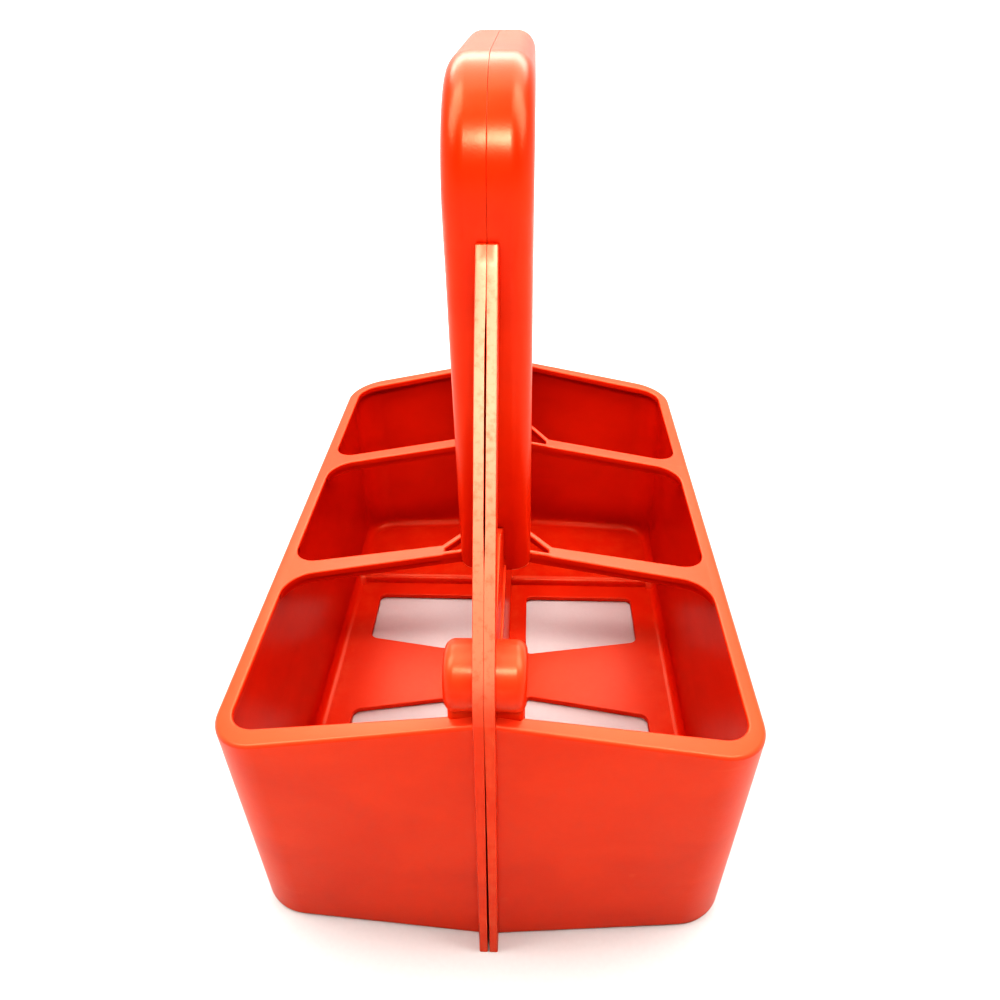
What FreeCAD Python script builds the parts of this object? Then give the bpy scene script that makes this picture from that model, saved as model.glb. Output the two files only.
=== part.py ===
# Six pack carrier: two mirror-image half mouldings that are held back to back by studs and pins.
# Millimetres. X runs across, Y along, Z up; the origin is on the ground in the slit between the halves.
# The right half is drawn first, the left half is its mirror image.
import FreeCAD, Part
import os
import Sketcher

doc = FreeCAD.newDocument("six_pack_carrier")
sheet = doc.addObject("Spreadsheet::Sheet", "sizes")

lengths = {
    # slit between the halves and the upright web plates
    "half_gap": 0.2,
    "web_thick": 2.8,
    "web_proud": 6.2,
    "web_shoulder": 112.0,
    "web_bend_radius": 30.0,
    "web_tip": 213.0,
    "web_tip_reach": 1.3,
    "web_saddle": 165.0,
    "ledge_width": 0.7,
    # opening between the sloping brace of the web and the leg
    "brace_joint": 12.3,
    "brace_setback": 17.3,
    "panel_front": 121.5,
    "panel_crest": 129.5,
    "panel_crest_offset": 74.0,
    "panel_rear": 117.0,
    "panel_corner_radius": 5.0,
    # tray outline at the crown of the rim, and how far the walls draw in down to the ground
    "half_width": 80.2,
    "side_draft": 1.6,
    "half_length": 122.7,
    "end_draft": 9.1,
    "crown_bulge": 1.1,
    "base_bulge": 6.2,
    "crown_corner_radius": 15.0,
    "base_corner_radius": 17.0,
    "crown_height": 102.0,
    "rim_drop": 15.0,
    "wall": 2.2,
    # floor
    "floor_thick": 2.4,
    "platform_rise": 4.0,
    "platform_start": 70.0,
    "platform_edge_radius": 2.5,
    "window_inner": 10.8,
    "window_outer": 62.5,
    "window_far": 55.4,
    "window_near_outer": 23.0,
    "window_near_inner": 13.3,
    "window_corner_radius": 3.0,
    # rim
    "rim_thick": 3.0,
    "rim_width": 5.2,
    "rim_end_width": 4.8,
    "rim_corner_width": 7.0,
    "rim_corner_radius": 9.0,
    "rim_edge_radius": 1.3,
    # divider bars
    "bar_offset": 40.3,
    "bar_width": 7.0,
    "bar_rib_inset": 0.4,
    "bar_rib_thick": 2.0,
    "bar_rib_depth": 5.0,
    "bar_flare_radius": 9.5,
    "bar_end_land": 0.4,
    "bar_splay": 10.0,
    "bar_splay_width": 2.9,
    "fork_start": 18.0,
    "brace_width": 3.2,
    "front_brace_reach": 20.0,
    "rear_brace_reach": 26.0,
    # handle
    "foot_height": 97.0,
    "foot_offset": 51.0,
    "leg_depth": 20.5,
    "grip_height": 254.0,
    "grip_lean": 20.6,
    "grip_bar_depth": 21.0,
    "grip_half_width": 11.3,
    "grip_bend_radius": 32.0,
    "grip_inner_radius": 11.0,
    "grip_edge_radius": 5.5,
    "grip_wall": 2.8,
    # bosses over the end walls
    "boss_radius": 9.7,
    "boss_reach": 11.1,
    "boss_setback": 9.8,
    "boss_height": 111.0,
    "boss_edge_radius": 3.0,
    "neck_half_depth": 6.0,
    # studs and pins that hold the halves together
    "stud_radius": 3.2,
    "stud_depth": 8.6,
    "stud_chamfer": 0.8,
    "fit_clearance": 0.08,
    "end_clearance": 0.5,
    "pin_radius": 2.4,
    "pin_depth": 6.4,
    "pin_chamfer": 0.6,
    "post_radius": 4.8,
    "leg_pin_height": 150.0,
    "top_pin_offset": 24.0,
    # how far a cut runs past the material
    "overrun": 5.0,
}


class Size:
    """A length and the sheet expression that gives it."""

    def __init__(self, value, text):
        self.value = value
        self.text = text

    def __add__(self, other):
        return Size(self.value + other.value, "(%s + %s)" % (self.text, other.text))

    def __sub__(self, other):
        return Size(self.value - other.value, "(%s - %s)" % (self.text, other.text))

    def __mul__(self, other):
        return Size(self.value * other.value, "(%s * %s)" % (self.text, other.text))

    def __truediv__(self, other):
        return Size(self.value / other.value, "(%s / %s)" % (self.text, other.text))

    def __neg__(self):
        return Size(-self.value, "(0 - %s)" % self.text)

    def root(self):
        return Size(self.value ** 0.5, "sqrt(%s)" % self.text)


for row, name in enumerate(lengths, start=1):
    sheet.set("A%d" % row, name)
    sheet.set("B%d" % row, str(lengths[name]))
    sheet.setAlias("B%d" % row, name)
doc.recompute()

size = {name: Size(value, "sizes." + name) for name, value in lengths.items()}
zero = Size(0, "0")
half_share = Size(0.5, "0.5")
whole_share = Size(1, "1")
over = size["overrun"]
web_face = size["half_gap"] + size["web_thick"]
ledge_edge = web_face + size["ledge_width"]
crown = size["crown_height"]
slope_share = size["rim_drop"] / size["half_width"]
crown_apex = size["half_length"] + size["crown_bulge"]
base_apex = size["half_length"] - size["end_draft"] + size["base_bulge"]
rim_apex = crown_apex - size["rim_end_width"]
boss_offset = crown_apex - size["boss_setback"]


def bind(item, field, length):
    item.setExpression(field, length.text)


def new_body(name):
    body = doc.addObject("PartDesign::Body", name)
    body.Label = name
    body.AllowCompound = True
    return body


def new_sketch(body, name, plane, offset=zero):
    made = body.newObject("Sketcher::SketchObject", "%s_%s" % (body.Name, name))
    support = [item for item in body.Origin.OriginFeatures if item.Role == plane]
    made.AttachmentSupport = [(support[0], "")]
    made.MapMode = "FlatFace"
    if offset is not zero:
        bind(made, "AttachmentOffset.Base.z", offset)
    return made


def point(pair):
    return FreeCAD.Vector(pair[0].value, pair[1].value, 0)


def hold(made, geometry, end, pair):
    """Tie one end of a line or arc to its two coordinates."""
    for kind, length, axis in (("DistanceX", pair[0], -2), ("DistanceY", pair[1], -1)):
        if length is zero:
            made.addConstraint(Sketcher.Constraint("PointOnObject", geometry, end, axis))
        else:
            rule = made.addConstraint(Sketcher.Constraint(kind, -1, 1, geometry, end, length.value))
            made.setExpression("Constraints[%d]" % rule, length.text)


def draw_loop(made, corners, arcs={}):
    """A closed outline; arcs gives the centre and radius of the sides that are round."""
    heads = []
    tails = []
    for index, corner in enumerate(corners):
        start = point(corner)
        finish = point(corners[(index + 1) % len(corners)])
        if index not in arcs:
            item = made.addGeometry(Part.LineSegment(start, finish))
            heads.append((item, 1))
            tails.append((item, 2))
            continue
        centre = point(arcs[index][0])
        circle = Part.Circle(centre, FreeCAD.Vector(0, 0, 1), arcs[index][1].value)
        counter = (start - centre).cross(finish - centre).z > 0
        first, last = (start, finish) if counter else (finish, start)
        item = made.addGeometry(Part.ArcOfCircle(circle, circle.parameter(first), circle.parameter(last)))
        heads.append((item, 1 if counter else 2))
        tails.append((item, 2 if counter else 1))
    for index in range(len(corners)):
        after = heads[(index + 1) % len(corners)]
        made.addConstraint(Sketcher.Constraint("Coincident", *tails[index], *after))
    for index, corner in enumerate(corners):
        hold(made, heads[index][0], heads[index][1], corner)
    for index in arcs:
        rule = made.addConstraint(Sketcher.Constraint("Radius", heads[index][0], arcs[index][1].value))
        made.setExpression("Constraints[%d]" % rule, arcs[index][1].text)


def draw_circle(made, centre, radius):
    circle = Part.Circle(point(centre), FreeCAD.Vector(0, 0, 1), radius.value)
    item = made.addGeometry(circle)
    hold(made, item, 3, centre)
    rule = made.addConstraint(Sketcher.Constraint("Radius", item, radius.value))
    made.setExpression("Constraints[%d]" % rule, radius.text)


def finish_step(body, made):
    body.Tip = made
    doc.recompute()
    return made


def add_pad(body, name, profile, length):
    made = body.newObject("PartDesign::Pad", "%s_%s" % (body.Name, name))
    made.Profile = profile
    bind(made, "Length", length)
    return finish_step(body, made)


def add_loft(body, name, lower, upper, kind="PartDesign::AdditiveLoft"):
    made = body.newObject(kind, "%s_%s" % (body.Name, name))
    made.Profile = lower
    made.Sections = [upper]
    made.Ruled = True
    return finish_step(body, made)


def cut_through(body, name, profile):
    made = body.newObject("PartDesign::Pocket", "%s_%s" % (body.Name, name))
    made.Profile = profile
    made.SideType = "Symmetric"
    made.Type = "ThroughAll"
    return finish_step(body, made)


def cut_depth(body, name, profile, depth, forward):
    """A pocket of one depth; forward cuts along the sketch normal."""
    made = body.newObject("PartDesign::Pocket", "%s_%s" % (body.Name, name))
    made.Profile = profile
    made.Reversed = forward
    bind(made, "Length", depth)
    return finish_step(body, made)


def middle(edge):
    return edge.valueAt((edge.FirstParameter + edge.LastParameter) / 2)


def is_upright(edge):
    run = edge.Vertexes[-1].Point - edge.Vertexes[0].Point
    return abs(run.z) > abs(run.x) + abs(run.y)


def is_crosswise(edge):
    run = edge.Vertexes[-1].Point - edge.Vertexes[0].Point
    return abs(run.x) > abs(run.y) + abs(run.z)


def lies_on(edge, across_x):
    """Whether an edge lies in the plane at one place across the carrier."""
    return all(abs(spot.X - across_x) < lengths["wall"] / 4 for spot in edge.Vertexes)


def round_edges(body, name, radius, wanted, kind="PartDesign::Fillet", field="Radius"):
    base = body.Tip
    picked = ["Edge%d" % number for number, edge in enumerate(base.Shape.Edges, start=1) if wanted(edge)]
    made = body.newObject(kind, "%s_%s" % (body.Name, name))
    made.Base = (base, picked)
    bind(made, field, radius)
    return finish_step(body, made)


def outline_at(height):
    """Half width, half length, middle bulge and corner radius of the outer wall at one height."""
    share = height / crown
    width = size["half_width"] - size["side_draft"] * (whole_share - share)
    length = size["half_length"] - size["end_draft"] * (whole_share - share)
    bulge = size["base_bulge"] + (size["crown_bulge"] - size["base_bulge"]) * share
    radius = size["base_corner_radius"] + (size["crown_corner_radius"] - size["base_corner_radius"]) * share
    return width, length, bulge, radius


def across(pair):
    """The same place in plan at the other end of the carrier."""
    return (pair[0], -pair[1])


def flipped(pairs):
    """Side-view places moved to the other end of the carrier."""
    return [(-along, height) for along, height in pairs]


def draw_outline(made, width, length, bulge, radius, inner_x):
    """Half of the tray seen from above: two bowed ends, a straight side and two round corners."""
    slope = bulge / (width - inner_x)
    secant = (whole_share + slope * slope).root()
    reach = radius * (secant - slope)
    side = (width, length - reach)
    end = (width - reach / secant, length + slope * reach / secant)
    centre = (width - radius, length - reach)
    apex = (inner_x, length + bulge)
    corners = [across(apex), across(end), across(side), side, end, apex]
    draw_loop(made, corners, {1: (across(centre), radius), 3: (centre, radius)})


def add_outer_block(body):
    """The whole outer form of one half, from the ground to the crown."""
    ground = new_sketch(body, "ground", "XY_Plane")
    draw_outline(ground, *outline_at(zero), web_face)
    top = new_sketch(body, "crown", "XY_Plane", crown)
    draw_outline(top, *outline_at(crown), web_face)
    add_loft(body, "block", ground, top)


def draw_room(made, height):
    """The inner face of the walls at one height."""
    width, length, bulge, radius = outline_at(height)
    wall = size["wall"]
    draw_outline(made, width - wall, length - wall, bulge, radius - wall, zero)


def cut_at_rim(body, name, drop, limit):
    """Take away what lies between the rim plane, lowered by drop, and a level far above or below it."""
    made = new_sketch(body, name, "XZ_Plane")
    low = crown - size["rim_drop"] - drop
    far = size["half_width"] + over
    draw_loop(made, [(zero, crown - drop), (size["half_width"], low), (far, low),
                     (far, limit), (zero, limit)])
    cut_through(body, name + "_cut", made)


def cut_above(body, name, drop):
    cut_at_rim(body, name, drop, crown + over)


def cut_below(body, name, drop):
    cut_at_rim(body, name, drop, -over)


def make_tray():
    body = new_body("right_tray")
    add_outer_block(body)
    cut_above(body, "wall_top", size["rim_thick"])

    # room for the bottles, down to the raised end platforms
    deck = size["floor_thick"] + size["platform_rise"]
    brim = crown + over
    lower = new_sketch(body, "deck", "XY_Plane", deck)
    draw_room(lower, deck)
    upper = new_sketch(body, "brim", "XY_Plane", brim)
    draw_room(upper, brim)
    add_loft(body, "room", lower, upper, "PartDesign::SubtractiveLoft")

    # lower floor between the platforms
    floor = new_sketch(body, "floor", "XY_Plane", deck)
    side = outline_at(deck)[0] - size["wall"]
    start = size["platform_start"]
    draw_loop(floor, [(zero, -start), (side, -start), (side, start), (zero, start)])
    cut_depth(body, "floor_cut", floor, size["platform_rise"], False)

    def is_step(edge):
        spot = middle(edge)
        near = lengths["wall"] / 2
        on_front = abs(abs(spot.y) - lengths["platform_start"]) < near
        return on_front and abs(spot.z - deck.value) < near and is_crosswise(edge)

    round_edges(body, "steps", size["platform_edge_radius"], is_step)

    # windows in the floor, under the divider bars
    windows = new_sketch(body, "windows", "XY_Plane")
    inner = size["window_inner"]
    outer = size["window_outer"]
    far = size["window_far"]
    draw_loop(windows, [(inner, size["window_near_inner"]), (outer, size["window_near_outer"]),
                        (outer, far), (inner, far)])
    draw_loop(windows, [(inner, -far), (outer, -far), (outer, -size["window_near_outer"]),
                        (inner, -size["window_near_inner"])])
    cut_through(body, "windows_cut", windows)

    def is_window_corner(edge):
        spot = middle(edge)
        inside = abs(spot.y) < lengths["platform_start"] - lengths["wall"]
        return is_upright(edge) and inside and spot.z < lengths["floor_thick"] and spot.x > web_face.value

    round_edges(body, "window_corners", size["window_corner_radius"], is_window_corner)
    return body


def leg_corners(*heights):
    """Outer face, inner face and height of the rear leg at each height, as places along Y and Z."""
    lean = size["grip_lean"] / (size["grip_height"] - size["foot_height"])
    found = []
    for height in heights:
        outer = size["foot_offset"] + lean * (height - size["foot_height"])
        found.append((outer, outer - size["leg_depth"], height))
    return found


def make_rim():
    body = new_body("right_rim")
    add_outer_block(body)
    cut_above(body, "top", zero)
    cut_below(body, "underside", size["rim_thick"])

    opening = new_sketch(body, "opening", "XY_Plane")
    width, length, bulge, radius = outline_at(crown - size["rim_drop"])
    inner_side = width - size["rim_width"]
    inner_corner = length - size["rim_corner_width"]
    draw_outline(opening, inner_side, inner_corner, rim_apex - inner_corner, size["rim_corner_radius"], zero)
    cut_through(body, "opening_cut", opening)

    def is_outer_top(edge):
        spot = middle(edge)
        level = crown.value - slope_share.value * spot.x
        if abs(spot.z - level) > lengths["rim_edge_radius"] / 2 or edge.Length < lengths["rim_width"] * 2:
            return False
        width, length, bulge, radius = outline_at(Size(level, "0"))
        beside = spot.x > width.value - lengths["wall"]
        ahead = abs(spot.y) > length.value - lengths["wall"] / 2
        past_side = spot.x > width.value - radius.value / 2
        past_end = abs(spot.y) > length.value - radius.value / 2
        return beside or ahead or (past_side and past_end)

    round_edges(body, "outer_edge", size["rim_edge_radius"], is_outer_top)
    return body


def make_bar(name, centre, reach):
    """A channel-section bar: a flat top over two ribs, which fork where they meet the handle."""
    near = centre - half_share * size["bar_width"]
    far = centre + half_share * size["bar_width"]
    near_rib = near + size["bar_rib_inset"]
    near_back = near_rib + size["bar_rib_thick"]
    far_back = far - size["bar_rib_inset"]
    far_rib = far_back - size["bar_rib_thick"]
    leg_side = size["grip_half_width"]
    fork = size["fork_start"]
    brace_foot = centre + reach
    brace_head = brace_foot - size["brace_width"]
    side_height = crown - size["rim_drop"]
    rim_side = outline_at(side_height)[0] - size["rim_width"]
    rib_foot = side_height - size["rim_thick"] - size["bar_rib_depth"]
    wall_side = outline_at(rib_foot)[0] - size["wall"]
    bend = rim_side - size["bar_flare_radius"]
    splay = size["bar_splay"]
    splay_width = size["bar_splay_width"]

    ribs = new_body(name + "_ribs")
    plan = new_sketch(ribs, "plan", "XY_Plane")
    draw_loop(plan, [(leg_side, near_rib), (bend, near_rib), (wall_side, near_rib - splay),
                     (wall_side, near_rib - splay + splay_width), (bend, near_back), (leg_side, near_back)])
    draw_loop(plan, [(web_face, brace_head), (fork, far_rib), (bend, far_rib),
                     (wall_side, far_back + splay - splay_width), (wall_side, far_back + splay),
                     (bend, far_back), (fork, far_back), (web_face, brace_foot)])
    add_pad(ribs, "prism", plan, crown)
    cut_above(ribs, "upper", size["rim_thick"])
    cut_below(ribs, "lower", size["rim_thick"] + size["bar_rib_depth"])

    top = new_body(name + "_top")
    plan = new_sketch(top, "plan", "XY_Plane")
    radius = size["bar_flare_radius"]
    land = rim_side - size["bar_end_land"]
    flare = land - radius
    corners = [(leg_side, near_rib), (fork, near_rib), (fork, near), (flare, near), (land, near - radius),
               (rim_side, near - radius), (rim_side, far + radius), (land, far + radius), (flare, far),
               (fork, far), (ledge_edge, brace_foot), (ledge_edge, brace_head), (fork, far_rib),
               (fork, near_back), (leg_side, near_back)]
    arcs = {3: ((flare, near - radius), radius), 7: ((flare, far + radius), radius)}
    draw_loop(plan, corners, arcs)
    add_pad(top, "prism", plan, crown + over)
    cut_above(top, "upper", zero)
    cut_below(top, "lower", size["rim_thick"])

    made = doc.addObject("Part::MultiFuse", name)
    made.Label = name
    made.Shapes = [ribs, top]
    made.Refine = True
    doc.recompute()
    return made


def make_web():
    body = new_body("right_web")
    end = base_apex + size["web_proud"]
    tip, joint, panel, foot, saddle = leg_corners(
        size["web_tip"], size["web_tip"] - size["brace_joint"], size["panel_rear"],
        size["foot_height"], size["web_saddle"])
    brace_foot = end - size["brace_setback"]
    rear = [(end, zero), (end, size["web_shoulder"]), (tip[0] + size["web_tip_reach"], tip[2]),
            (tip[0], tip[2]), (joint[0], joint[2]), (brace_foot, size["panel_front"]),
            (size["panel_crest_offset"], size["panel_crest"]), (panel[0], panel[2]),
            (foot[0], foot[2]), (foot[1], foot[2]), (saddle[1], saddle[2])]
    outline = new_sketch(body, "outline", "YZ_Plane", size["half_gap"])
    draw_loop(outline, flipped(rear) + rear[::-1])
    add_pad(body, "plate", outline, size["web_thick"])

    def corner_at(*places):
        """The short edges of the plate at these places along Y and Z, at both ends of the carrier."""
        def is_corner(edge):
            spot = middle(edge)
            return is_crosswise(edge) and any(
                abs(abs(spot.y) - along.value) + abs(spot.z - height.value) < lengths["wall"] / 4
                for along, height in places)
        return is_corner

    round_edges(body, "shoulders", size["web_bend_radius"], corner_at((end, size["web_shoulder"])))
    round_edges(body, "panel_corners", size["panel_corner_radius"], corner_at(
        (brace_foot, size["panel_front"]), (size["panel_crest_offset"], size["panel_crest"])))

    # a thin ledge at rim height, which stops at both legs of the handle
    low = crown - size["rim_thick"] - slope_share * web_face
    high = crown - slope_share * ledge_edge
    under, above = leg_corners(low, high)
    rear = [(rim_apex, low), (rim_apex, high), (above[0], high), (under[0], low)]
    middle_part = [(under[1], low), (above[1], high)]
    ledge = new_sketch(body, "ledge", "YZ_Plane", web_face)
    draw_loop(ledge, rear)
    draw_loop(ledge, flipped(rear))
    draw_loop(ledge, flipped(middle_part) + middle_part[::-1])
    add_pad(body, "ledge_pad", ledge, size["ledge_width"])

    holes = new_sketch(body, "stud_holes", "YZ_Plane")
    for offset in (-boss_offset, boss_offset):
        draw_circle(holes, (offset, size["boss_height"]), size["stud_radius"] + size["fit_clearance"])
    cut_through(body, "stud_holes_cut", holes)
    return body


def draw_arch(made, inset):
    """The arch of the handle seen from the side, drawn in by inset all round."""
    low = size["foot_height"] + inset
    high = size["grip_height"] - inset
    under = size["grip_height"] - size["grip_bar_depth"] + inset
    bottom, inside, top = leg_corners(low, under, high)
    rear = [(bottom[0] - inset, low), (top[0] - inset, high)]
    rear_inside = [(bottom[1] + inset, low), (inside[1] + inset, under)]
    draw_loop(made, flipped(rear) + rear[::-1] + rear_inside + flipped(rear_inside[::-1]))
    return high, under


def make_grip():
    body = new_body("right_grip")
    outline = new_sketch(body, "arch", "YZ_Plane", size["half_gap"])
    high, under = draw_arch(outline, zero)
    add_pad(body, "half", outline, size["grip_half_width"] - size["half_gap"])

    def bend_at(level):
        return lambda edge: is_crosswise(edge) and abs(middle(edge).z - level.value) < lengths["wall"] / 2

    # the half is a shell, open towards the slit
    hollow = new_sketch(body, "hollow", "YZ_Plane", size["half_gap"])
    wall = size["grip_wall"]
    hollow_high, hollow_under = draw_arch(hollow, wall)
    cut_depth(body, "hollow_cut", hollow, size["grip_half_width"] - size["half_gap"] - wall, True)
    round_edges(body, "hollow_outer", size["grip_bend_radius"] - wall, bend_at(hollow_high))
    round_edges(body, "hollow_inner", size["grip_inner_radius"] + wall, bend_at(hollow_under))
    round_edges(body, "outer_bends", size["grip_bend_radius"], bend_at(high))
    round_edges(body, "inner_bends", size["grip_inner_radius"], bend_at(under))

    def is_outer_face(edge):
        above_foot = middle(edge).z > lengths["foot_height"] + lengths["wall"]
        return above_foot and lies_on(edge, lengths["grip_half_width"])

    round_edges(body, "long_edges", size["grip_edge_radius"], is_outer_face)

    posts = new_sketch(body, "posts", "YZ_Plane", size["half_gap"])
    holes = new_sketch(body, "pin_holes", "YZ_Plane", size["half_gap"])
    for centre in pin_places.values():
        draw_circle(posts, centre, size["post_radius"])
        draw_circle(holes, centre, size["pin_radius"] + size["fit_clearance"])
    add_pad(body, "posts_pad", posts, size["grip_half_width"] - size["half_gap"] - half_share * wall)
    cut_depth(body, "pin_holes_cut", holes, size["pin_depth"], True)
    return body


def make_boss(name, offset):
    body = new_body(name)
    drum = new_sketch(body, "drum", "YZ_Plane", web_face)
    draw_circle(drum, (offset, size["boss_height"]), size["boss_radius"])
    length = size["boss_reach"] - web_face
    add_pad(body, "drum_pad", drum, length)

    neck = new_sketch(body, "neck", "YZ_Plane", web_face)
    near = offset - size["neck_half_depth"]
    far = offset + size["neck_half_depth"]
    foot = size["foot_height"]
    draw_loop(neck, [(near, foot), (far, foot), (far, size["boss_height"]), (near, size["boss_height"])])
    add_pad(body, "neck_pad", neck, length)
    cut_below(body, "seat", zero)

    def is_face_edge(edge):
        return lies_on(edge, lengths["boss_reach"]) and middle(edge).z > lengths["crown_height"]

    round_edges(body, "face_edge", size["boss_edge_radius"], is_face_edge)

    hole = new_sketch(body, "stud_hole", "YZ_Plane")
    draw_circle(hole, (offset, size["boss_height"]), size["stud_radius"] + size["fit_clearance"])
    cut_depth(body, "stud_hole_cut", hole, size["stud_depth"] + size["half_gap"], True)
    return body


def make_plug(name, place, radius, depth, chamfer):
    """A plain round plug along X, seated in the left half and free at its right end."""
    body = new_body(name)
    section = new_sketch(body, "section", "YZ_Plane")
    draw_circle(section, (zero, zero), radius)
    left = depth + size["half_gap"]
    add_pad(body, "shank", section, left + left - size["end_clearance"])
    round_edges(body, "ends", chamfer, lambda edge: len(edge.Vertexes) == 1, "PartDesign::Chamfer", "Size")
    bind(body, "Placement.Base.x", -left)
    bind(body, "Placement.Base.y", place[0])
    bind(body, "Placement.Base.z", place[1])
    doc.recompute()
    return body


leg_at_pin = leg_corners(size["leg_pin_height"])[0]
leg_pin_offset = half_share * (leg_at_pin[0] + leg_at_pin[1])
top_pin_height = size["grip_height"] - half_share * size["grip_bar_depth"]
pin_places = {
    "front_leg_pin": (-leg_pin_offset, size["leg_pin_height"]),
    "rear_leg_pin": (leg_pin_offset, size["leg_pin_height"]),
    "front_top_pin": (-size["top_pin_offset"], top_pin_height),
    "rear_top_pin": (size["top_pin_offset"], top_pin_height),
}

right_half = [
    make_tray(),
    make_rim(),
    make_bar("right_front_bar", -size["bar_offset"], size["front_brace_reach"]),
    make_bar("right_rear_bar", size["bar_offset"], size["rear_brace_reach"]),
    make_web(),
    make_grip(),
    make_boss("right_front_boss", -boss_offset),
    make_boss("right_rear_boss", boss_offset),
]

left_half = []
for member in right_half:
    mirrored = doc.addObject("Part::Mirroring", member.Label.replace("right", "left"))
    mirrored.Label = member.Label.replace("right", "left")
    mirrored.Source = member
    mirrored.Normal = FreeCAD.Vector(1, 0, 0)
    left_half.append(mirrored)

plugs = []
for label, offset in (("front_stud", -boss_offset), ("rear_stud", boss_offset)):
    place = (offset, size["boss_height"])
    plugs.append(make_plug(label, place, size["stud_radius"], size["stud_depth"], size["stud_chamfer"]))
for label, place in pin_places.items():
    plugs.append(make_plug(label, place, size["pin_radius"], size["pin_depth"], size["pin_chamfer"]))
doc.recompute()

for item in doc.Objects:
    if "Invalid" in item.State or "Error" in item.State:
        raise RuntimeError("%s did not build: %s" % (item.Label, item.State))

os.makedirs("parts", exist_ok=True)
for item in left_half + right_half + plugs:
    shape = item.Shape
    if shape.isNull() or not shape.isValid() or len(shape.Solids) != 1:
        raise RuntimeError("%s is not one valid solid" % item.Label)
    shape.Solids[0].exportStep("parts/%s.step" % item.Label)
    box = shape.BoundBox
    print("%-18s %9.0f mm3  X %7.1f %7.1f  Y %7.1f %7.1f  Z %6.1f %6.1f" % (
        item.Label, shape.Volume, box.XMin, box.XMax, box.YMin, box.YMax, box.ZMin, box.ZMax))
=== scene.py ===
import bpy
import bmesh
from math import atan2, cos, pi, radians, sin, sqrt, tan
from mathutils import Matrix, Vector


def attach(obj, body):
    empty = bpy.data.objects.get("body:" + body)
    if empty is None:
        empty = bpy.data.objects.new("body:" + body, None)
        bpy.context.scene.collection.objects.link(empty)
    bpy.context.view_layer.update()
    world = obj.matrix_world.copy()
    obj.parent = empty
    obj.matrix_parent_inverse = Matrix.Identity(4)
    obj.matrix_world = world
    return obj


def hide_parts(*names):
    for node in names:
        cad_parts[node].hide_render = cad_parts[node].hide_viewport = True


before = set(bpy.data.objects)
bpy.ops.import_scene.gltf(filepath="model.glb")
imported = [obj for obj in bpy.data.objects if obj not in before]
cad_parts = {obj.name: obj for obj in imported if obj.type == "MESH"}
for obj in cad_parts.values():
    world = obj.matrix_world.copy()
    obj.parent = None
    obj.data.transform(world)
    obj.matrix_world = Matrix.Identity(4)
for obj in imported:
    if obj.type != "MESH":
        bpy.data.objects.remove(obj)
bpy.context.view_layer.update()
scene = bpy.context.scene
mm = 0.001                                    # pieces are drawn in millimetres and scaled once
print("frame loaded,", len(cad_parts), "nodes")


# node helpers

def addNode(tree, kind, **values):
    node = tree.nodes.new(kind)
    for name, value in values.items():
        if name in node.inputs:
            node.inputs[name].default_value = value
        else:
            setattr(node, name, value)
    return node


def feed(tree, socket, source):
    # a source is the output of another node or a plain value
    if isinstance(source, bpy.types.NodeSocket):
        tree.links.new(source, socket)
    else:
        socket.default_value = source


def addMath(tree, operation, *sources, clamp=False):
    node = addNode(tree, "ShaderNodeMath", operation=operation, use_clamp=clamp)
    for socket, source in zip(node.inputs, sources):
        feed(tree, socket, source)
    return node.outputs[0]


def addRange(tree, source, *bounds, kind="LINEAR"):
    # bounds: from low, from high and, where they aren't 0 and 1, to low and to high
    node = addNode(tree, "ShaderNodeMapRange", interpolation_type=kind)
    for socket, value in zip(node.inputs, (source,) + bounds):
        feed(tree, socket, value)
    return node.outputs[0]


def addNoise(tree, place, scale, **plan):
    node = addNode(tree, "ShaderNodeTexNoise", **plan)
    feed(tree, node.inputs["Vector"], place)
    feed(tree, node.inputs["Scale"], scale)
    return node.outputs["Fac"]


def layColour(tree, share, under, over):
    node = addNode(tree, "ShaderNodeMix", data_type="RGBA")
    for index, source in ((0, share), (6, under), (7, over)):   # 6 and 7 are the colours of a Mix node
        feed(tree, node.inputs[index], source)
    return node.outputs[2]


def newGroup(name, values, results):
    # a group takes a place and named values, and gives values that change over the surface
    group = bpy.data.node_groups.new(name, "ShaderNodeTree")
    group.interface.new_socket("Vector", in_out="INPUT", socket_type="NodeSocketVector")
    for label, value in values.items():
        socket = group.interface.new_socket(label, in_out="INPUT", socket_type="NodeSocketFloat")
        socket.default_value = value
    for label in results:
        group.interface.new_socket(label, in_out="OUTPUT", socket_type="NodeSocketFloat")
    return group, group.nodes.new("NodeGroupInput").outputs, group.nodes.new("NodeGroupOutput").inputs


# fine spark-eroded grain of the mould, with slow flow marks and dull clouds in the plastic

grainLook = {
    "grainScale": 1400.0, "grain": {"Detail": 3.0, "Roughness": 0.6},
    "rippleScale": 95.0, "ripple": {"Detail": 2.0},
    "rippleWeight": 3.0,                      # slow ripples weigh more than grain
    "flowScale": 30.0, "flow": {"Detail": 4.0, "Distortion": 0.6}, "flowStretch": (1.0, 0.45, 1.6),
    "cloudScale": 11.0, "cloud": {"Detail": 2.0},
}


def makeMouldGrain(look):
    scales = {"Grain Scale": look["grainScale"], "Flow Scale": look["flowScale"]}
    group, given, out = newGroup("mouldGrain", scales, ("Height", "Flow", "Cloud"))
    grain = addNoise(group, given["Vector"], given["Grain Scale"], **look["grain"])
    ripple = addNoise(group, given["Vector"], look["rippleScale"], **look["ripple"])
    stretch = addNode(group, "ShaderNodeMapping", Scale=look["flowStretch"])
    feed(group, stretch.inputs["Vector"], given["Vector"])
    flow = addNoise(group, stretch.outputs["Vector"], given["Flow Scale"], **look["flow"])
    cloud = addNoise(group, given["Vector"], look["cloudScale"], **look["cloud"])
    height = addMath(group, "MULTIPLY_ADD", ripple, look["rippleWeight"], grain)
    for label, source in (("Height", height), ("Flow", flow), ("Cloud", cloud)):
        feed(group, out[label], source)
    return group


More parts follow.
